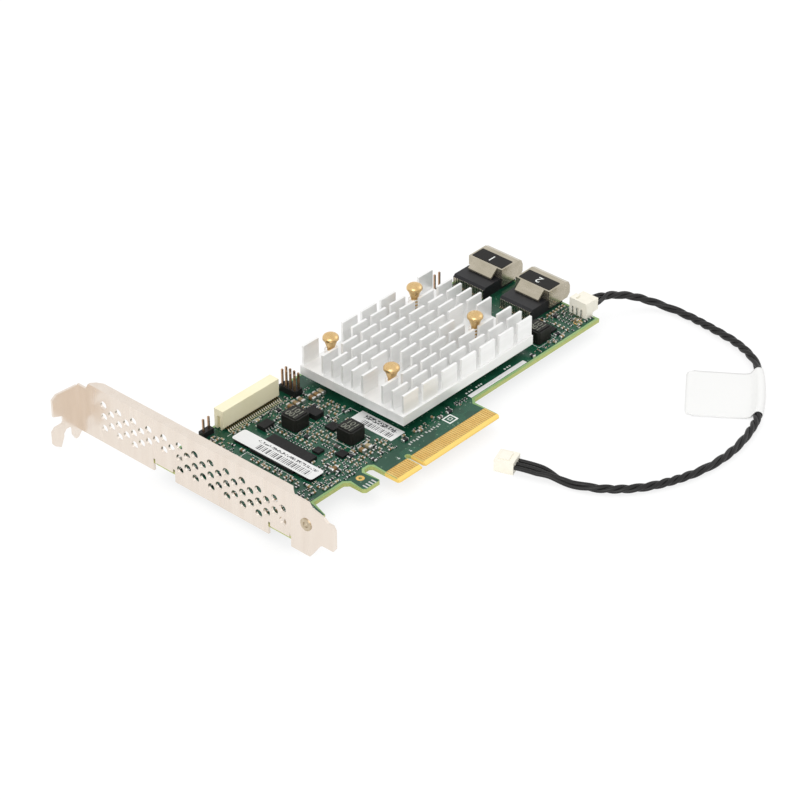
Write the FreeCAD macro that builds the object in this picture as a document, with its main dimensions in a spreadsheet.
import FreeCAD, Part
import math
import os
import Sketcher

# RAID controller card: a low printed board with a x8 contact edge, a full-height
# bracket, a pin-fin heatsink, two right-angle storage connectors and a wired lead.
#
# Frame, in millimetres: the origin is at the centre of the key notch, on the tip of
# the contact edge and half-way through the board. +X runs from the bracket to the
# far end, +Y away from the slot, +Z out of the component side.

doc = FreeCAD.newDocument("raid_controller_card")
sheet = doc.addObject("Spreadsheet::Sheet", "Sizes")
NODES = []


class Size:
    """A number together with the sheet expression that it comes from."""

    def __init__(self, value, text):
        self.value = value
        self.text = text

    def __add__(self, other):
        return joined(self, "+", other, self.value + size_of(other).value)

    def __radd__(self, other):
        return size_of(other) + self

    def __sub__(self, other):
        return joined(self, "-", other, self.value - size_of(other).value)

    def __rsub__(self, other):
        return size_of(other) - self

    def __mul__(self, other):
        return joined(self, "*", other, self.value * size_of(other).value)

    def __rmul__(self, other):
        return size_of(other) * self

    def __truediv__(self, other):
        return joined(self, "/", other, self.value / size_of(other).value)

    def __neg__(self):
        return size_of(0) - self


def size_of(thing):
    return thing if isinstance(thing, Size) else Size(float(thing), repr(float(thing)))


def joined(left, sign, right, value):
    return Size(value, f"({left.text} {sign} {size_of(right).text})")


# The driving dimensions; each has a cell of its own in the spreadsheet.
SIZES = {
    # Board outline, from the key notch and the tips of the contacts.
    "bracket_reach": 59.2,
    "sheet_metal": 0.86,
    "bracket_gap": 0.24,
    "board_reach": 109.55,
    "board_top_edge": 68.9,
    "board_thickness": 1.57,
    "board_low_edge": 13.0,
    "foot_width": 15.5,
    "foot_edge": 5.5,
    "hook_edge": 4.9,
    "hook_width": 7.9,
    "hook_slot": 4.15,
    "tongue_left": 12.15,
    "tongue_right": 39.15,
    "key_width": 1.9,
    "key_depth": 8.25,
    "bevel_depth": 1.3,
    "bevel_cut": 0.47,
    "relief": 0.9,
    # Gold contacts.
    "contact_pitch": 1.0,
    "contact_width": 0.7,
    "contact_top": 6.5,
    "foil": 0.05,
    "first_contact": 1.5,
    # Bracket.
    "bracket_fold": 105.3,
    "bracket_height": 120.02,
    "bracket_width": 21.4,
    "bracket_drop": 1.9,
    "flange_width": 21.59,
    "flange_depth": 12.3,
    "flange_drop": 2.7,
    "tab_width": 10.19,
    "tab_rise": 7.1,
    "screw_slot": 4.0,
    "screw_slot_depth": 6.0,
    "side_notch": 3.2,
    "lip_depth": 3.7,
    "lip_start": 5.7,
    "lip_end": 99.5,
    "lip_rise": 2.6,
    "vent_radius": 1.5,
    "vent_pitch": 7.3,
    "vent_first": 12.2,
    "vent_margin": 5.6,
    "vent_row": 4.8,
    "ear_width": 8.6,
    "ear_depth": 8.0,
    "ear_low": 5.9,
    "ear_high": 59.5,
    "ear_side_gap": 0.8,
    "ear_lift": 1.5,
    "screw_radius": 1.45,
    "screw_head_radius": 2.7,
    "screw_head": 1.7,
    "screw_reach": 2.2,
    "screw_clearance": 0.15,
    "eyelet_inset": 12.82,
    "eyelet_rise": 12.3,
    "eyelet_radius": 1.9,
    "eyelet_bore": 1.1,
    "eyelet_flange": 2.3,
    "eyelet_lip": 0.3,
    # Heatsink and what it cools.
    "sink_middle": 42.8,
    "sink_front": 17.05,
    "sink_length": 68.4,
    "sink_depth": 48.35,
    "sink_gap": 3.23,
    "sink_base": 3.7,
    "fin_height": 7.7,
    "fin_thickness": 0.95,
    "fin_front": 1.15,
    "fin_pitch": 4.66,
    "fin_side": 0.9,
    "fin_length": 7.6,
    "fin_column": 10.0,
    "pin_inset_x": 31.23,
    "pin_inset_y": 28.1,
    "pin_spacing_x": 43.65,
    "pin_spacing_y": 28.5,
    "pin_radius": 1.35,
    "pin_head": 2.9,
    "pin_clearance": 0.25,
    "pin_tip": 1.9,
    "pin_neck": 2.4,
    "pin_dome": 1.7,
    "pin_rise": 0.9,
    "spring_wire": 0.25,
    "spring_radius": 2.15,
    "spring_pitch": 1.35,
    "chip_size": 33.0,
    "chip_shift_x": 2.97,
    "chip_shift_y": 3.925,
    "chip_carrier": 1.3,
    "lid_size": 27.0,
    "lid_height": 1.6,
    "memory_height": 1.1,
    # Storage connectors at the far end.
    "port_pitch": 22.4,
    "port_y": 37.6,
    "port_width": 15.9,
    "port_setback": 17.65,
    "port_body": 9.3,
    "port_body_height": 4.45,
    "port_overhang": 3.5,
    "port_top": 8.25,
    "port_wall": 0.4,
    "port_floor": 1.1,
    "port_latch_width": 11.0,
    "port_latch_reach": 3.3,
    "port_latch_drop": 2.9,
    "port_front_round": 2.6,
    "tongue_thickness": 1.3,
    "tongue_gap": 1.5,
    "port_pin_pitch": 0.8,
    "port_pin_width": 0.32,
    "port_pin_rise": 3.6,
    "port_label_length": 6.3,
    "port_label_width": 14.4,
    "port_label_inset": 0.8,
    "label_sheet": 0.12,
    # Slot connector along the top edge, with its leads.
    "slot_left": 30.8,
    "slot_length": 27.3,
    "slot_depth": 4.2,
    "slot_height": 7.8,
    "slot_mouth": 2.6,
    "lead_pitch": 0.96,
    "lead_width": 0.42,
    "lead_thickness": 0.2,
    "lead_reach": 2.6,
    "lead_rise": 1.3,
    # Pin headers.
    "pin_square": 0.64,
    "pin_hole": 0.5,
    "header_pitch": 2.54,
    "fine_header_pitch": 1.95,
    "header_gap": 0.1,
    "header_tail": 1.6,
    # Coils, chips and small parts.
    "coil_size": 7.5,
    "coil_chamfer": 0.8,
    "coil_height": 4.9,
    "chip_height": 1.2,
    "fine_pitch": 0.5,
    "bulk_height": 1.5,
    "small_height": 0.8,
    "fine_height": 0.45,
    # Wired header, its plug and the lead.
    "socket_depth": 3.65,
    "socket_y": 16.1,
    "socket_width": 7.9,
    "socket_height": 6.3,
    "plug_width": 7.0,
    "plug_height": 4.7,
    "plug_rise": 0.95,
    "plug_reach": 3.6,
    "plug_gap": 0.05,
    "wire_pitch": 2.0,
    "cord_radius": 1.4,
    "floor_drop": 5.385,
    "far_plug_length": 7.0,
    "flag_along": 29.0,
    "flag_reach": 26.5,
    "flag_wrap": 14.0,
    "flag_sheet": 0.3,
    "flag_gap": 0.05,
}


class Sheet:
    """The spreadsheet's cells, read back as S.name."""

    def __init__(self, sizes):
        for row, (alias, value) in enumerate(sizes.items(), start=1):
            sheet.set(f"A{row}", alias.replace("_", " "))
            sheet.set(f"B{row}", repr(value))
            sheet.setAlias(f"B{row}", alias)
            setattr(self, alias, Size(float(value), f"Sizes.{alias}"))


S = Sheet(SIZES)

TOP = S.board_thickness / 2
UNDER = -TOP
BOARD_LEFT = S.sheet_metal + S.bracket_gap - S.bracket_reach
BOARD_RIGHT = size_of(0) + S.board_reach
FACE = -S.bracket_reach
INNER = FACE + S.sheet_metal
LOW = UNDER - S.bracket_drop
HIGH = LOW + S.bracket_width
FLOOR = -S.floor_drop


# Building blocks --------------------------------------------------------------------

def bind(thing, **sizes):
    for name, size in sizes.items():
        thing.setExpression(name, size_of(size).text)


def move(thing, x=0, y=0, z=0):
    for axis, size in (("x", x), ("y", y), ("z", z)):
        thing.setExpression(f"Placement.Base.{axis}", size_of(size).text)


def block(x, y, z):
    """A box; x, y and z are each a (from, to) pair."""
    piece = doc.addObject("Part::Box", "Block")
    bind(piece, Length=size_of(x[1]) - x[0], Width=size_of(y[1]) - y[0], Height=size_of(z[1]) - z[0])
    move(piece, x[0], y[0], z[0])
    return piece


TURNS = {"z": (0, 0, 1, 0), "x": (0, 1, 0, 90), "y": (1, 0, 0, -90)}


def rod(x, y, z, radius, length, axis="z"):
    """A cylinder that starts at x, y, z and runs along the named axis."""
    piece = doc.addObject("Part::Cylinder", "Rod")
    *line, angle = TURNS[axis]
    piece.Placement.Rotation = FreeCAD.Rotation(FreeCAD.Vector(*line), angle)
    bind(piece, Radius=radius, Height=length)
    move(piece, x, y, z)
    return piece


def cone(x, y, z, low_radius, high_radius, length):
    piece = doc.addObject("Part::Cone", "Cone")
    bind(piece, Radius1=low_radius, Radius2=high_radius, Height=length)
    move(piece, x, y, z)
    return piece


def fused(pieces, label="Fused"):
    whole = doc.addObject("Part::MultiFuse", label)
    whole.Shapes = pieces
    return whole


def grouped(pieces, label="Group"):
    """Separate solids side by side in one object."""
    whole = doc.addObject("Part::Compound", label)
    whole.Links = pieces
    return whole


def cut(base, tools, label="Cut"):
    whole = doc.addObject("Part::Cut", label)
    whole.Base = base
    whole.Tool = tools[0] if len(tools) == 1 else grouped(tools, "Tools")
    return whole


def node(label, piece):
    """Names a finished sub-part; its label is the name of its file."""
    piece.Label = label
    NODES.append(piece)
    return piece


def new_body(label):
    body = doc.addObject("PartDesign::Body", label)
    body.AllowCompound = True
    return body


def drawn(body, plane, points, offset=0):
    """A closed outline of straight edges, each corner held by two distances."""
    sketch = body.newObject("Sketcher::SketchObject", "Outline")
    support = [feature for feature in body.Origin.OriginFeatures if feature.Role == plane][0]
    sketch.AttachmentSupport = [(support, "")]
    sketch.MapMode = "FlatFace"
    sketch.setExpression("AttachmentOffset.Base.z", size_of(offset).text)
    corners = [(size_of(a), size_of(b)) for a, b in points]
    count = len(corners)
    for i in range(count):
        ends = [FreeCAD.Vector(a.value, b.value, 0) for a, b in (corners[i], corners[(i + 1) % count])]
        sketch.addGeometry(Part.LineSegment(*ends))
    for i in range(count):
        sketch.addConstraint(Sketcher.Constraint("Coincident", i, 2, (i + 1) % count, 1))
    for i, corner in enumerate(corners):
        for kind, size in zip(("DistanceX", "DistanceY"), corner):
            number = sketch.addConstraint(Sketcher.Constraint(kind, -1, 1, i, 1, size.value))
            sketch.setExpression(f"Constraints[{number}]", size.text)
    return sketch


def pad(body, sketch, length, middle=False, back=False):
    feature = body.newObject("PartDesign::Pad", "Pad")
    feature.Profile = sketch
    feature.SideType = "Symmetric" if middle else "One side"
    feature.Reversed = back
    bind(feature, Length=length)
    body.Tip = feature
    return feature


def pocket(body, sketch, length, middle=False, back=False):
    feature = body.newObject("PartDesign::Pocket", "Pocket")
    feature.Profile = sketch
    feature.SideType = "Symmetric" if middle else "One side"
    feature.Reversed = back
    bind(feature, Length=length)
    body.Tip = feature
    return feature


def in_a_row(body, feature, axis, pitch, count):
    """Repeats a feature of the body along one of its own axes."""
    row = body.newObject("PartDesign::LinearPattern", "Row")
    row.Originals = [feature]
    row.Direction = ([item for item in body.Origin.OriginFeatures if item.Role == axis][0], [""])
    row.Mode = "Spacing"
    row.Occurrences = count
    bind(row, Offset=pitch)
    body.Tip = row
    return row


def span(centre, width):
    """The (from, to) pair of a width about its centre."""
    return centre - size_of(width) / 2, centre + size_of(width) / 2


def corners_of(x, y):
    """The four corners of a rectangle, from two (from, to) pairs."""
    return [(x[0], y[0]), (x[1], y[0]), (x[1], y[1]), (x[0], y[1])]


# The board and its contacts ---------------------------------------------------------

SCREW_X = INNER + S.ear_depth - S.screw_head_radius - 0.4
EARS = [S.ear_low, S.ear_high]
SINK_LEFT = S.sink_middle - S.sink_length / 2
PIN_X = SINK_LEFT + S.pin_inset_x
PIN_Y = S.sink_front + S.pin_inset_y
CHIP_X = PIN_X + S.chip_shift_x
CHIP_Y = PIN_Y - S.chip_shift_y
PINS = [(PIN_X + side * S.pin_spacing_x / 2, PIN_Y + row * S.pin_spacing_y / 2)
        for side in (-1, 1) for row in (-1, 1)]
HOOK_RIGHT = -S.tongue_left - S.hook_slot
HOOK_LEFT = HOOK_RIGHT - S.hook_width
SOCKET_X = BOARD_RIGHT - S.socket_depth
SOCKET_PINS = [S.socket_y + S.socket_width / 2 + i * S.wire_pitch for i in (-1, 0, 1)]
# Pin headers: name, centre x and y, rows, pitch, pin height, base height.
HEADER_COLUMNS = 2
HEADERS = [("black_header", size_of(1.65), 63.45, 4, S.fine_header_pitch, 8.8, 2.5),
           ("bracket_header", size_of(-36.2), 66.9, 1, S.header_pitch, 7.0, 2.2),
           ("sink_header", BOARD_RIGHT - 26.95, 67.2, 1, S.header_pitch, 9.3, 2.2)]


def header_spots(x, y, rows, pitch):
    """Where the pins of a header stand."""
    return [(x + (i - (HEADER_COLUMNS - 1) / 2) * pitch, y + (j - (rows - 1) / 2) * pitch)
            for i in range(HEADER_COLUMNS) for j in range(rows)]


def make_board():
    body = new_body("Board")
    foot_right = BOARD_LEFT + S.foot_width
    outline = drawn(body, "XY_Plane", [
        (BOARD_LEFT, S.foot_edge), (foot_right, S.foot_edge),
        (foot_right + 2.4, S.board_low_edge),
        (HOOK_LEFT - 1.5, S.board_low_edge), (HOOK_LEFT, S.board_low_edge - 1.5),
        (HOOK_LEFT, S.hook_edge + 1.0), (HOOK_LEFT + 1.0, S.hook_edge),
        (HOOK_RIGHT - 0.5, S.hook_edge), (HOOK_RIGHT, S.hook_edge + 0.5),
        (HOOK_RIGHT, S.board_low_edge - S.relief), (HOOK_RIGHT + S.relief, S.board_low_edge),
        (-S.tongue_left - S.relief, S.board_low_edge), (-S.tongue_left, S.board_low_edge - S.relief),
        (-S.tongue_left, 0.5), (0.5 - S.tongue_left, 0), (S.tongue_right - 0.5, 0),
        (S.tongue_right, 0.5), (S.tongue_right, S.board_low_edge - 2 * S.relief),
        (S.tongue_right + S.relief, S.board_low_edge - S.relief),
        (S.tongue_right + 2 * S.relief, S.board_low_edge), (BOARD_RIGHT, S.board_low_edge),
        (BOARD_RIGHT, S.board_top_edge), (BOARD_LEFT, S.board_top_edge)])
    pad(body, outline, S.board_thickness, middle=True)
    half_key = S.key_width / 2
    deep = S.key_depth - half_key
    notch = drawn(body, "XY_Plane", [
        (-half_key, -1), (half_key, -1), (half_key, deep), (0.7 * half_key, deep + 0.7 * half_key),
        (0, S.key_depth), (-0.7 * half_key, deep + 0.7 * half_key), (-half_key, deep)])
    pocket(body, notch, 2 * S.board_thickness, middle=True)
    for side in (1, -1):
        bevel = drawn(body, "YZ_Plane", [
            (-1, side * (TOP - S.bevel_cut)), (0, side * (TOP - S.bevel_cut)),
            (S.bevel_depth, side * TOP), (S.bevel_depth, side * (TOP + 1)), (-1, side * (TOP + 1))])
        pocket(body, bevel, 4 * S.tongue_right, middle=True)
    holes = [rod(x, y, 2 * UNDER, S.pin_radius + S.pin_clearance, 4 * TOP) for x, y in PINS]
    holes += [rod(SCREW_X, low + S.ear_width / 2, 2 * UNDER, S.screw_radius + S.screw_clearance, 4 * TOP)
              for low in EARS]
    for name, x, y, rows, pitch, *heights in HEADERS:
        holes += [rod(px, py, 2 * UNDER, S.pin_hole, 4 * TOP)
                  for px, py in header_spots(x, y, rows, pitch)]
    holes += [rod(SOCKET_X - 0.35, y, 2 * UNDER, S.pin_hole, 4 * TOP) for y in SOCKET_PINS]
    holes += [rod(HOOK_RIGHT - 3.7, 10.7, 2 * UNDER, 0.6, 4 * TOP),
              rod(BOARD_RIGHT - 7.05, 17.2, 2 * UNDER, 0.8, 4 * TOP)]
    node("printed_board", cut(body, holes))


def make_contacts():
    """Gold pads on both faces of the tongue, each side of the key notch."""
    pads = []
    for base in (TOP, UNDER - S.foil):
        for side, count in ((-1, 11), (1, 38)):
            for i in range(count):
                middle = side * (S.first_contact + i * S.contact_pitch)
                pads.append(block(span(middle, S.contact_width), (S.bevel_depth, S.contact_top),
                                  (base, base + S.foil)))
    node("edge_contacts", grouped(pads))


# The bracket and what holds it ------------------------------------------------------

TAB_END = S.bracket_fold - S.bracket_height
EYELET_Y = TAB_END + S.eyelet_inset


def make_bracket():
    """One folded sheet: body, lip, flange, lower tab and two ears."""
    tab_end = TAB_END
    tab_low = LOW + S.tab_rise
    tab_high = tab_low + S.tab_width
    notch_top = TOP + S.ear_lift
    notches = []
    for low in EARS:
        start = low - S.ear_side_gap
        end = low + S.ear_width + S.ear_side_gap
        notches += [(start, LOW), (start, notch_top), (end, notch_top), (end, LOW)]
    body = new_body("Bracket")
    face = drawn(body, "YZ_Plane", [
        (tab_end, tab_low + 1.5), (tab_end + 1.0, tab_low), (tab_end + 5.7, tab_low),
        (tab_end + 6.8, tab_low - 0.6), (tab_end + 10.5, LOW + 1.2), (tab_end + 11.5, LOW)]
        + notches + [
        (S.bracket_fold, LOW), (S.bracket_fold, HIGH - S.lip_rise),
        (S.lip_end + 1.5, HIGH - S.lip_rise), (S.lip_end, HIGH), (S.lip_start - 8.7, HIGH),
        (S.lip_start - 9.9, HIGH - 1.6),
        (tab_end + 5.0, tab_high + 1.3), (tab_end + 3.0, tab_high), (tab_end + 1.0, tab_high),
        (tab_end, tab_high - 1.5)], offset=FACE)
    pad(body, face, S.sheet_metal)
    lip_tip = FACE + S.lip_depth
    lip = drawn(body, "XY_Plane", [
        (FACE, S.lip_start - 2.0), (INNER, S.lip_start - 2.0), (lip_tip - 1.2, S.lip_start),
        (lip_tip, S.lip_start + 1.2),
        (lip_tip, S.lip_end - 4.0), (lip_tip - 1.2, S.lip_end - 1.5), (INNER, S.lip_end),
        (FACE, S.lip_end)], offset=HIGH - S.sheet_metal)
    pad(body, lip, S.sheet_metal)
    flange_low = LOW - S.flange_drop
    flange_high = flange_low + S.flange_width
    tip = FACE - S.flange_depth
    slot_left = FACE - 7.3
    slot_top = flange_low + S.screw_slot_depth
    notch_low = flange_low + 8.9
    notch_high = notch_low + S.side_notch
    flange = drawn(body, "XZ_Plane", [
        (INNER, flange_low + 2.0), (FACE - 0.9, flange_low), (FACE - 2.2, flange_low),
        (slot_left + S.screw_slot, flange_low + 2.0), (slot_left + S.screw_slot, slot_top - 1.3),
        (slot_left + S.screw_slot - 1.2, slot_top), (slot_left + 1.2, slot_top),
        (slot_left, slot_top - 1.3),
        (slot_left, flange_low + 3.6), (slot_left - 1.6, flange_low), (tip + 1.0, flange_low + 1.4),
        (tip, flange_low + 2.6), (tip, notch_low - 1.3), (tip + 1.4, notch_low), (FACE - 7.6, notch_low),
        (FACE - 7.2, notch_low + 0.6), (FACE - 7.2, notch_high - 0.6), (FACE - 7.6, notch_high),
        (tip + 0.9, notch_high + 1.4), (tip + 0.9, flange_high - 1.4), (tip + 3.0, flange_high),
        (FACE, flange_high - 0.6), (INNER, flange_high - 1.4)], offset=-S.bracket_fold)
    pad(body, flange, S.sheet_metal, back=True)
    for low in EARS:
        ear = drawn(body, "XY_Plane", corners_of((INNER, INNER + S.ear_depth), (low, low + S.ear_width)),
                    offset=TOP)
        pad(body, ear, S.sheet_metal)
        riser = drawn(body, "XY_Plane",
                      corners_of((FACE, INNER + S.sheet_metal), (low, low + S.ear_width)), offset=TOP)
        pad(body, riser, S.ear_lift + S.sheet_metal)
    holes = [rod(SCREW_X, low + S.ear_width / 2, 0, S.screw_radius + S.screw_clearance,
                 4 * TOP) for low in EARS]
    holes.append(rod(FACE - 1, EYELET_Y, LOW + S.eyelet_rise, S.eyelet_radius, 4 * S.sheet_metal, "x"))
    holes += vent_holes()
    node("bracket", cut(body, holes))


def vent_holes():
    """Columns of three and of two holes by turns; some lack the lowest hole."""
    holes = []
    for column in range(24):
        y = S.vent_first + (column - 1) * S.vent_pitch / 2
        three = column % 2 == 1
        top = HIGH - S.vent_margin - (0 if three else 1) * S.vent_row / 2
        rows = (3 if three else 2) - (1 if column in (1, 14, 15, 16, 17) else 0)
        holes += [rod(FACE - 1, y, top - row * S.vent_row, S.vent_radius, 4 * S.sheet_metal, "x")
                  for row in range(rows)]
    return holes


def make_bracket_screws():
    """Pan-head screws through the ears and the board."""
    seat = TOP + S.sheet_metal
    screws = []
    for low in EARS:
        y = low + S.ear_width / 2
        shank = rod(SCREW_X, y, UNDER - S.screw_reach + 1, S.screw_radius,
                    seat - UNDER + S.screw_reach - 1)
        head = cone(SCREW_X, y, seat, S.screw_head_radius, S.screw_head_radius - 0.5, S.screw_head)
        cross = [block(span(SCREW_X, 2.6), span(y, 0.5),
                       (seat + S.screw_head - 0.8, seat + S.screw_head + 1)),
                 block(span(SCREW_X, 0.5), span(y, 2.6),
                       (seat + S.screw_head - 0.8, seat + S.screw_head + 1))]
        screws.append(cut(fused([shank, head]), cross))
    node("bracket_screws", grouped(screws))


def make_eyelet():
    z = LOW + S.eyelet_rise
    barrel = rod(FACE, EYELET_Y, z, S.eyelet_radius, S.sheet_metal, "x")
    front = rod(FACE - S.eyelet_lip, EYELET_Y, z, S.eyelet_flange, S.eyelet_lip, "x")
    back = rod(INNER, EYELET_Y, z, S.eyelet_flange, S.eyelet_lip, "x")
    bore = rod(FACE - 1, EYELET_Y, z, S.eyelet_bore, 4 * S.sheet_metal, "x")
    node("bracket_eyelet", cut(fused([barrel, front, back]), [bore]))


# Heatsink, its pins and the chips below it --------------------------------------------

SINK_LOW = TOP + S.sink_gap
SINK_TOP = SINK_LOW + S.sink_base
FIN_TOP = SINK_TOP + S.fin_height
SINK_X = (SINK_LEFT, SINK_LEFT + S.sink_length)
SINK_Y = (S.sink_front, S.sink_front + S.sink_depth)
FIN_COLUMNS = 1 + int((S.sink_length.value - S.fin_side.value - 1) / S.fin_column.value)
FIN_ROWS = 1 + int((S.sink_depth.value - S.fin_front.value - 0.5) / S.fin_pitch.value)
# Plates left out round the four pins, as {row: columns}.
CLEARED = {3: (0, 1, 5, 6), 4: (1, 5), 9: (0, 1, 5, 6), 10: (1, 5)}


def make_heatsink():
    plates = []
    for row in range(FIN_ROWS):
        y = S.sink_front + S.fin_front + row * S.fin_pitch
        for column in range(FIN_COLUMNS):
            if column in CLEARED.get(row, ()):
                continue
            x = SINK_LEFT + S.fin_side + column * S.fin_column
            room = S.sink_length - S.fin_side - column * S.fin_column
            length = room if room.value < S.fin_length.value else S.fin_length
            plates.append(block((x, x + length), span(y, S.fin_thickness), (SINK_TOP, FIN_TOP)))
    base = block(SINK_X, SINK_Y, (SINK_LOW, SINK_TOP))
    holes = [rod(x, y, SINK_LOW - 1, S.pin_radius + S.pin_clearance, S.sink_base + 2) for x, y in PINS]
    node("heatsink", cut(fused([base] + plates), holes))


def make_heatsink_pins():
    """Brass push pins: split tip below the board, funnel neck and a domed head."""
    neck_low = FIN_TOP - 1.9
    neck_high = FIN_TOP + S.pin_rise
    pins = []
    for x, y in PINS:
        tip = cone(x, y, UNDER - S.pin_tip, S.pin_radius - 0.4, S.pin_radius + 0.75, S.pin_tip)
        slit = block(span(x, 0.5), span(y, 6), (UNDER - S.pin_tip - 1, UNDER - 0.4))
        shank = rod(x, y, UNDER, S.pin_radius, neck_low - UNDER)
        neck = cone(x, y, neck_low, S.pin_radius + 0.2, S.pin_neck, neck_high - neck_low)
        rim = cone(x, y, neck_high, S.pin_neck, S.pin_head, 0.35)
        edge = rod(x, y, neck_high + 0.35, S.pin_head, 0.5)
        dome = doc.addObject("Part::Ellipsoid", "Dome")
        bind(dome, Radius1=S.pin_dome, Radius2=S.pin_head, Radius3=S.pin_head)
        dome.Angle1 = 0
        move(dome, x, y, neck_high + 0.85)
        pins.append(cut(fused([tip, shank, neck, rim, edge, dome]), [slit]))
    node("heatsink_pins", grouped(pins))


def make_springs():
    """A coil spring on each pin, between the heatsink's base and the pin's neck."""
    wire = S.spring_wire.value
    room = FIN_TOP.value - 1.9 - SINK_TOP.value - 2 * wire
    springs = []
    for x, y in PINS:
        coil = Part.makeHelix(S.spring_pitch.value, room, S.spring_radius.value)
        turns = [math.radians(45 * i + 22.5) for i in range(9)]
        section = Part.makePolygon([
            FreeCAD.Vector(S.spring_radius.value + wire * math.cos(turn), 0, wire * math.sin(turn))
            for turn in turns])
        spring = Part.Wire(coil.Edges).makePipeShell([section], True, True)
        spring.translate(FreeCAD.Vector(x.value, y.value, SINK_TOP.value + wire))
        springs.append(spring)
    piece = doc.addObject("Part::Feature", "Springs")
    piece.Shape = Part.makeCompound(springs)
    node("pin_springs", piece)


def make_chips_below():
    """Controller and memory chips that the heatsink cools."""
    x = CHIP_X
    y = CHIP_Y
    carrier_top = TOP + S.chip_carrier
    lid_top = carrier_top + S.lid_height
    carrier = block(span(x, S.chip_size), span(y, S.chip_size), (TOP, carrier_top))
    node("controller_chip_carrier", carrier)
    node("controller_chip_lid", block(span(x, S.lid_size), span(y, S.lid_size), (carrier_top, lid_top)))
    node("thermal_pad", block(span(x, S.lid_size), span(y, S.lid_size), (lid_top, SINK_LOW)))
    chips = [block(span(x + 26.7, 9.0), span(y + row * 13.0, 11.0), (TOP, TOP + S.memory_height))
             for row in (-1, 0, 1)]
    node("memory_chips", grouped(chips))


# Storage connectors ------------------------------------------------------------------

PORT_LEFT = BOARD_RIGHT - S.port_setback
CAGE_LEFT = PORT_LEFT + S.port_body
CAGE_RIGHT = BOARD_RIGHT + S.port_overhang
PORT_PIN_COUNT = 18


def make_port(number, y):
    """A right-angle connector: housing, contact tails, metal cage and label."""
    width = S.port_width
    housing_top = TOP + S.port_body_height
    cage_top = TOP + S.port_top
    wall = S.port_wall
    floor_top = TOP + S.port_floor
    body = new_body(f"Port_{number}_housing")
    profile = drawn(body, "XZ_Plane", [
        (PORT_LEFT, TOP), (BOARD_RIGHT, TOP), (BOARD_RIGHT, floor_top), (CAGE_LEFT + wall, floor_top),
        (CAGE_LEFT + wall, housing_top), (CAGE_LEFT - 0.05, housing_top), (PORT_LEFT + 0.9, housing_top),
        (PORT_LEFT, housing_top - 0.9)])
    pad(body, profile, width - 2 * wall - 0.2, middle=True)
    tongue_low = floor_top + wall + S.tongue_gap
    tongue = drawn(body, "XZ_Plane", [
        (CAGE_LEFT, tongue_low), (BOARD_RIGHT - 1, tongue_low), (BOARD_RIGHT - 0.6, tongue_low + 0.4),
        (BOARD_RIGHT - 0.6, tongue_low + S.tongue_thickness - 0.4),
        (BOARD_RIGHT - 1, tongue_low + S.tongue_thickness), (CAGE_LEFT,
                                                             tongue_low + S.tongue_thickness)])
    pad(body, tongue, width - 5, middle=True)
    move(body, 0, y, 0)
    node(f"port_{number}_housing", body)

    cage = new_body(f"Port_{number}_cage")
    bend = S.port_front_round
    shell = drawn(cage, "XZ_Plane", [
        (CAGE_LEFT, housing_top), (CAGE_LEFT + wall, housing_top), (CAGE_LEFT + wall, floor_top),
        (CAGE_RIGHT - 1.3, floor_top), (CAGE_RIGHT, floor_top + 1.6), (CAGE_RIGHT, cage_top - bend),
        (CAGE_RIGHT - 0.3 * bend, cage_top - 0.3 * bend), (CAGE_RIGHT - bend, cage_top), (CAGE_LEFT,
                                                                                          cage_top)])
    pad(cage, shell, width, middle=True)
    hollow = drawn(cage, "YZ_Plane", corners_of(
        span(size_of(0), width - 2 * wall), (floor_top + wall,
                                             cage_top - 2 * wall)), offset=CAGE_LEFT + 2 * wall)
    pocket(cage, hollow, 2 * S.port_setback, back=True)
    slit = drawn(cage, "YZ_Plane", corners_of(
        span(size_of(0), width - 4.8), (tongue_low - 0.1,
                                        tongue_low + S.tongue_thickness + 0.1)), offset=CAGE_LEFT)
    pocket(cage, slit, 4 * wall, back=True)
    latch_tip = CAGE_LEFT - S.port_latch_reach
    latch_low = cage_top - S.port_latch_drop
    latch = drawn(cage, "XZ_Plane", [
        (CAGE_LEFT + 0.6, cage_top), (CAGE_LEFT, cage_top), (latch_tip, latch_low), (latch_tip,
                                                                                     latch_low - 0.6),
        (latch_tip + 0.5, latch_low - 0.6), (CAGE_LEFT, cage_top - 0.9), (CAGE_LEFT + 0.6,
                                                                          cage_top - 0.9)])
    pad(cage, latch, S.port_latch_width, middle=True)
    move(cage, 0, y, 0)
    node(f"port_{number}_cage", cage)

    tails = new_body(f"Port_{number}_contacts")
    foot = PORT_LEFT - 0.9
    one = drawn(tails, "XZ_Plane", [
        (foot, TOP), (PORT_LEFT, TOP), (PORT_LEFT, TOP + S.port_pin_rise),
        (PORT_LEFT - 0.25, TOP + S.port_pin_rise), (PORT_LEFT - 0.25, TOP + 0.25), (foot, TOP + 0.25)],
        offset=(PORT_PIN_COUNT - 1) * S.port_pin_pitch / 2)
    first = pad(tails, one, S.port_pin_width, middle=True)
    in_a_row(tails, first, "Y_Axis", S.port_pin_pitch, PORT_PIN_COUNT)
    move(tails, 0, y, 0)
    node(f"port_{number}_contacts", tails)

    label_x = CAGE_LEFT + S.port_label_inset
    node(f"port_{number}_label",
         block((label_x, label_x + S.port_label_length), span(y, S.port_label_width),
                                       (cage_top, cage_top + S.label_sheet)))


# Slot connector and pin headers --------------------------------------------------------

SLOT_X = (-S.slot_left, S.slot_length - S.slot_left)
SLOT_BACK = S.board_top_edge - 0.6
SLOT_FRONT = SLOT_BACK - S.slot_depth
SLOT_LEAD_COUNT = 27


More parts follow.
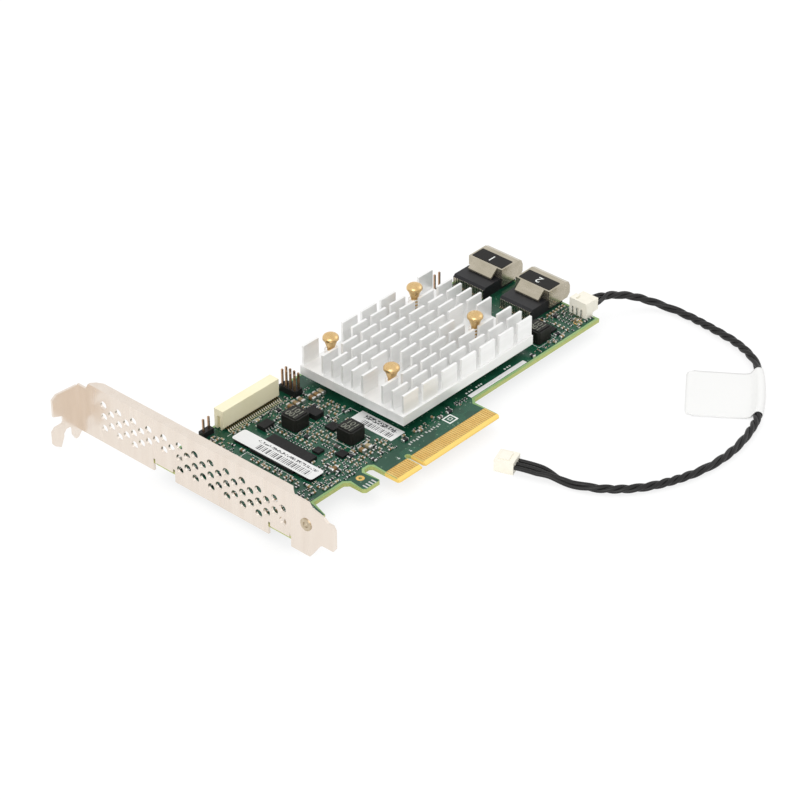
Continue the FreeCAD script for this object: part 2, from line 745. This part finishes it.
def make_slot_connector():
    """Cream housing whose long mouth opens over the top edge of the board."""
    top = TOP + S.slot_height
    housing = block(SLOT_X, (SLOT_FRONT, SLOT_BACK), (TOP, top))
    middle = TOP + S.slot_height / 2
    mouth = block((SLOT_X[0] + 1.6, SLOT_X[1] - 1.6), (SLOT_FRONT + 1.2, S.board_top_edge + 1),
                  span(middle, S.slot_mouth))
    notches = [block((x - 0.9, x + 0.9), span(SLOT_BACK - S.slot_depth / 2, 1.4), (TOP - 1, top - 2.6))
               for x in SLOT_X]
    lower_step = block((SLOT_X[0] - 1, SLOT_X[1] + 1), (SLOT_FRONT - 1, SLOT_FRONT + 0.8),
                       (TOP - 1, TOP + 1.0))
    node("slot_connector_housing", cut(housing, [mouth, lower_step] + notches))
    leads = new_body("Slot_leads")
    front = SLOT_FRONT - S.lead_reach
    back = SLOT_FRONT + 0.8
    rise = TOP + S.lead_rise - 0.5
    gull = drawn(leads, "YZ_Plane", [
        (front, TOP), (front + 1.2, TOP), (front + 1.6, rise - S.lead_thickness), (back,
                                                                                   rise - S.lead_thickness),
        (back, rise), (front + 1.4, rise), (front + 1.0, TOP + S.lead_thickness), (front,
                                                                                   TOP + S.lead_thickness)],
        offset=SLOT_X[0] + S.slot_length / 2 - (SLOT_LEAD_COUNT - 1) * S.lead_pitch / 2)
    first = pad(leads, gull, S.lead_width, middle=True)
    in_a_row(leads, first, "X_Axis", S.lead_pitch, SLOT_LEAD_COUNT)
    node("slot_connector_leads", leads)


def make_header(name, x, y, rows, pitch, height, base_height):
    """Square pins through a plastic base; each pin runs out under the board."""
    pins = []
    holes = []
    for px, py in header_spots(x, y, rows, pitch):
        square = (span(px, S.pin_square), span(py, S.pin_square))
        pins.append(block(*square, (UNDER - S.header_tail, TOP + height)))
        holes.append(block(*square, (TOP - 1, TOP + base_height + 1)))
    sides = [span(size_of(middle), count * pitch - S.header_gap)
             for middle, count in ((x, HEADER_COLUMNS), (y, rows))]
    base = block(*sides, (TOP, TOP + base_height))
    node(f"{name}_base", cut(base, holes))
    node(f"{name}_pins", grouped(pins))


# Chips, coils and small parts on the board -------------------------------------------

def make_coils():
    """Three shielded power coils with chamfered corners."""
    half = S.coil_size / 2
    cut_off = half - S.coil_chamfer
    for number, (x, y) in enumerate([(-11.8, 48.4), (-4.9, 29.0), (BOARD_RIGHT - 24.45, 21.5)], start=1):
        body = new_body(f"Coil_{number}")
        outline = drawn(body, "XY_Plane", [
            (-cut_off, -half), (cut_off, -half), (half, -cut_off), (half, cut_off),
            (cut_off, half), (-cut_off, half), (-half, cut_off), (-half, -cut_off)])
        pad(body, outline, S.coil_height)
        lid = drawn(body, "XY_Plane", corners_of(span(size_of(0), S.coil_size - 1.6),
                                                 span(size_of(0),
                                                      S.coil_size - 1.6)), offset=S.coil_height)
        pad(body, lid, 0.3)
        move(body, x, y, TOP)
        node(f"power_coil_{number}", body)


def make_chips():
    """Flat black packages; the flash chip has leads along its two short ends."""
    flash_x = span(size_of(-27.5), 12.0)
    flash_y = span(size_of(39.0), 20.0)
    node("flash_chip", block(flash_x, flash_y, (TOP, TOP + S.chip_height)))
    leads = new_body("Flash_leads")
    end = flash_x[1] + 0.8
    shape = [(flash_x[1], TOP + 0.5), (end - 0.4, TOP), (end, TOP), (end, TOP + 0.15),
             (end - 0.35, TOP + 0.15), (flash_x[1], TOP + 0.65)]
    count = 32
    one = drawn(leads, "XZ_Plane", shape,
                offset=(count - 1) * S.fine_pitch / 2 - (flash_y[0] + flash_y[1]) / 2)
    first = pad(leads, one, S.fine_pitch / 2, middle=True)
    in_a_row(leads, first, "Y_Axis", S.fine_pitch, count)
    node("flash_chip_leads", leads)
    label_chips = [block(span(size_of(-30.0), 5.6), span(size_of(y), 6.0), (TOP, TOP + S.chip_height))
                   for y in (24.2, 54.0)]
    node("interface_chips", grouped(label_chips))
    body = block(span(size_of(-19.4), 5.0), span(size_of(55.1), 3.6), (TOP + 0.1, TOP + 1.6))
    feet = [block(span(size_of(-19.4 + (i - 1.5) * 1.27), 0.42),
                  (55.1 + side * 2.45 - 0.65, 55.1 + side * 2.45 + 0.65), (TOP, TOP + 0.2))
            for side in (-1, 1) for i in range(4)]
    node("small_outline_chip", body)
    node("small_outline_chip_leads", grouped(feet))
    squares = [(-14.3, 24.2, 3.4), (-4.5, 37.6, 4.0), (-18.2, 31.6, 3.0),
               (BOARD_RIGHT - 17.55, 21.0, 3.0)]
    node("regulator_chips",
         grouped([block(span(size_of(x), side), span(size_of(y), side), (TOP, TOP + 0.9))
                                     for x, y, side in squares]))
    node("power_switch", block(span(size_of(-3.4), 4.0), span(size_of(47.6), 5.6), (TOP, TOP + 2.0)))


def strewn(rows, length, width, height, base=TOP, side=1):
    """Equal parts in rows of (first x, first y, step x, step y, count, turned)."""
    parts = []
    for x, y, step_x, step_y, count, turned in rows:
        across, along = (width, length) if turned else (length, width)
        for i in range(count):
            low = base if side > 0 else base - height
            parts.append(block(span(size_of(x + i * step_x), across),
                               span(size_of(y + i * step_y), along),
                               (low, low + height)))
    return grouped(parts)


def make_small_parts():
    """Chip capacitors and resistors, three sizes, and those under the controller."""
    node("bulk_capacitors", strewn([
        (-5.6, 56.6, 2.6, 0, 3, True), (3.2, 54.9, 2.4, 0, 3, True), (-22.6, 20.2, 0, 0, 1, False),
        (-8.3, 20.6, 3.0, 0, 2, True), (BOARD_RIGHT - 18.95, 26.5, 2.4, 0, 2,
                                        True)], 3.2, 1.7, S.bulk_height))
    node("small_capacitors", strewn([
        (0.6, 48.2, 1.9, 0, 4, True), (1.4, 44.6, 1.9, 0, 3, True), (-17.4, 36.0, 0, 2.1, 4, False),
        (-12.6, 34.8, 2.2, 0, 3, True), (-13.2, 38.4, 2.0, 0, 3, True), (-18.6, 46.6, 0, 1.9, 3, False),
        (1.9, 33.0, 0, 2.0, 3, False), (-12.8, 17.6, 1.9, 0, 4, True), (-0.6, 17.4, 0, 1.9, 3, False),
        (BOARD_RIGHT - 11.15, 27.6, 1.7, 0, 6, True), (BOARD_RIGHT - 13.95, 16.6, 0, 1.9, 4,
                                                       False), (-36.6, 24.0, 0, 2.6, 9, False),
        (-29.6, 60.2, 2.2, 0, 4, True), (BOARD_RIGHT - 21.15, 31.0, 0, 2.4, 3,
                                         False)], 1.6, 0.85, S.small_height))
    node("chip_resistors", strewn([
        (-17.4, 20.8, 0, 1.5, 3, False), (-9.4, 41.2, 1.4, 0, 4, True), (-19.8, 35.6, 0, 1.4, 6, False),
        (4.6, 60.4, 1.3, 0, 3, True), (-10.6, 60.6, 1.3, 0, 4, True), (33.6, 15.2, 1.3, 0, 5, True),
        (-24.8, 22.6, 0, 1.4, 3, False), (BOARD_RIGHT - 10.15, 17.4, 0, 1.4, 5,
                                          False), (BOARD_RIGHT - 7.65, 20.4, 0, 1.4, 3, False),
        (-39.4, 30.0, 0, 1.6, 10, False), (-14.2, 29.2, 0, 1.3, 4, False)], 1.1, 0.6, S.fine_height))
    x = CHIP_X.value
    y = CHIP_Y.value
    node("underside_capacitors", strewn([
        (x - 9, y - 8 + 4 * row, 3.0, 0, 7,
         True) for row in range(5)], 1.6, 0.85, S.small_height, UNDER, -1))


def make_board_labels():
    """A long label over the flash chip, a short one and a strip along the edge."""
    over_chip = TOP + S.chip_height
    node("long_label", block(span(size_of(-29.65), 6.7), span(size_of(39.6), 37.4),
                             (over_chip, over_chip + S.label_sheet)))
    node("short_label",
         block(span(size_of(6.25), 7.1), span(size_of(27.2), 19.6), (TOP, TOP + S.label_sheet)))
    node("edge_label",
         block(span(size_of(55.5), 29.8), span(size_of(15.05), 1.85), (TOP, TOP + S.label_sheet)))


# Wired header, lead and plugs ---------------------------------------------------------

PLUG_LOW = TOP + S.plug_rise
PLUG_END = BOARD_RIGHT + S.plug_reach
PLUG_MIDDLE = PLUG_LOW + S.plug_height / 2
PLUG_Y = span(S.socket_y + S.socket_width / 2, S.plug_width)


def make_socket():
    """White shrouded header whose mouth and plug face the far end of the board."""
    gap = S.plug_gap
    sides = (S.socket_y, S.socket_y + S.socket_width)
    right = BOARD_RIGHT
    shell = block((SOCKET_X, right), sides, (TOP, TOP + S.socket_height))
    mouth = block((SOCKET_X + 0.9, right + 1), (PLUG_Y[0] - gap, PLUG_Y[1] + gap),
                  (PLUG_LOW - gap, PLUG_LOW + S.plug_height + gap))
    key = block((SOCKET_X + 0.9, right + 1), (sides[0] + 2.0, sides[1] - 2.0),
                (TOP + 1, TOP + S.socket_height + 1))
    holes = [block((SOCKET_X - 1, right), span(y, 0.5), span(PLUG_MIDDLE, 0.5)) for y in SOCKET_PINS]
    node("lead_socket", cut(shell, [mouth, key] + holes))
    legs = []
    for y in SOCKET_PINS:
        arm = block((SOCKET_X - 0.6, SOCKET_X + 0.9), span(y, 0.5), span(PLUG_MIDDLE, 0.5))
        leg = block((SOCKET_X - 0.6, SOCKET_X - 0.1), span(y, 0.5),
                    (UNDER - S.header_tail, PLUG_MIDDLE + 0.25))
        legs.append(fused([arm, leg]))
    node("lead_socket_pins", grouped(legs))
    body = block((SOCKET_X + 0.9, PLUG_END), PLUG_Y, (PLUG_LOW, PLUG_LOW + S.plug_height))
    node("lead_plug_near", body)


RESTING = -S.floor_drop.value + S.cord_radius.value + 0.05
ON_FLAG = RESTING + S.flag_sheet.value
FAR_PLUG_MIDDLE = -S.floor_drop.value + S.plug_height.value / 2
# The lead as it lies: out of the near plug, down and round in one open loop.
ROUTE = [
    (PLUG_END.value, 19.0, PLUG_MIDDLE.value), (117.4, 19.0, PLUG_MIDDLE.value), (123.9, 16.6, 2.8),
    (130.2, 13.7, 0.4), (135.2, 9.4, -2.4), (137.9, 2.6, -3.8), (138.1, -6.5, RESTING),
    (137.0, -18.5, RESTING), (134.9, -31.5, ON_FLAG), (128.2, -45.4, ON_FLAG), (105.0, -62.6, ON_FLAG),
    (90.5, -67.6, ON_FLAG), (77.5, -69.3, RESTING), (64.5, -68.2, RESTING), (52.6, -64.3, RESTING),
    (42.2, -58.7, RESTING), (33.6, -50.0, RESTING), (28.4, -39.2, RESTING),
    (27.8, -27.6, FAR_PLUG_MIDDLE), (24.9, -19.6, FAR_PLUG_MIDDLE)]


def tube_along(route, radius):
    """Straight runs joined by arcs, each as large as its two runs allow."""
    points = [FreeCAD.Vector(*point) for point in route]
    edges = []
    here = points[0]
    length = 0
    for before, corner, after in zip(points, points[1:], points[2:]):
        back = (before - corner).normalize()
        ahead = (after - corner).normalize()
        turn = math.pi - back.getAngle(ahead)
        reach = 0.45 * min(corner.distanceToPoint(before), corner.distanceToPoint(after))
        bend = reach / math.tan(turn / 2)
        start = corner + back * reach
        end = corner + ahead * reach
        middle = corner + (back + ahead).normalize() * (bend / math.cos(turn / 2) - bend)
        edges.append(Part.LineSegment(here, start).toShape())
        edges.append(Part.Arc(start, middle, end).toShape())
        length += here.distanceToPoint(start) + bend * turn
        print(f"lead bend: turn {math.degrees(turn):.1f} degrees, radius {bend:.1f}")
        here = end
    edges.append(Part.LineSegment(here, points[-1]).toShape())
    length += here.distanceToPoint(points[-1])
    section = Part.Wire([Part.makeCircle(radius, points[0], points[1] - points[0])])
    tube = Part.Wire(edges).makePipeShell([section], True, True)
    print(f"lead: length {length:.1f}, volume {tube.Volume:.1f}, "
          f"section times length {math.pi * radius ** 2 * length:.1f}")
    return tube


def make_lead():
    tube = doc.addObject("Part::Feature", "Lead")
    tube.Shape = tube_along(ROUTE, S.cord_radius.value)
    node("lead", tube)
    end = ROUTE[-1]
    body = block((-S.far_plug_length, 0), span(size_of(0), S.plug_width), (0, S.plug_height))
    rib = block((1.2 - S.far_plug_length, -2.0), span(size_of(0), S.plug_width - 2.4),
                (S.plug_height, S.plug_height + 0.35))
    plug = fused([body, rib])
    before = ROUTE[-2]
    heading = math.degrees(math.atan2(end[1] - before[1], end[0] - before[0]))
    plug.Placement.Rotation = FreeCAD.Rotation(FreeCAD.Vector(0, 0, 1), heading + 180)
    move(plug, end[0], end[1], FLOOR)
    node("lead_plug_far", plug)


def make_flag():
    """A blank paper flag: folded round the lead and lying flat on one side."""
    first, last = [ROUTE[i] for i in (9, 10)]
    middle = [(a + b) / 2 for a, b in zip(first, last)]
    heading = math.degrees(math.atan2(first[1] - last[1], first[0] - last[0]))
    sheet_low = FLOOR
    rise = size_of(middle[2]) - FLOOR
    outer = rod(-S.flag_wrap / 2, 0, rise, rise, S.flag_wrap, "x")
    inner = rod(-S.flag_wrap, 0, rise, S.cord_radius + S.flag_gap, 2 * S.flag_wrap, "x")
    leaf = block(span(size_of(0), S.flag_along), (-1.2, S.flag_reach), (0, S.flag_sheet))
    flag = cut(fused([outer, leaf]), [inner])
    flag.Placement.Rotation = FreeCAD.Rotation(FreeCAD.Vector(0, 0, 1), heading)
    move(flag, middle[0], middle[1], sheet_low)
    node("lead_flag", flag)


# The whole card -----------------------------------------------------------------------

make_board()
make_contacts()
make_bracket()
make_bracket_screws()
make_eyelet()
make_heatsink()
make_heatsink_pins()
make_springs()
make_chips_below()
for number, y in ((1, S.port_y + S.port_pitch), (2, S.port_y)):
    make_port(number, y)
make_slot_connector()
for header in HEADERS:
    make_header(*header)
make_coils()
make_chips()
make_small_parts()
make_board_labels()
make_socket()
make_lead()
make_flag()

doc.recompute()
for thing in doc.Objects:
    bad = {"Invalid", "Error"} & set(thing.State)
    assert not bad, f"{thing.Label} is {thing.State}"
for piece in NODES:
    assert not piece.Shape.isNull() and piece.Shape.isValid(), f"{piece.Label} has no valid shape"
    assert piece.Shape.Volume > 0, f"{piece.Label} is empty"
os.makedirs("parts", exist_ok=True)
for piece in NODES:
    piece.Shape.exportStep(f"parts/{piece.Label}.step")
print(len(NODES), "nodes")
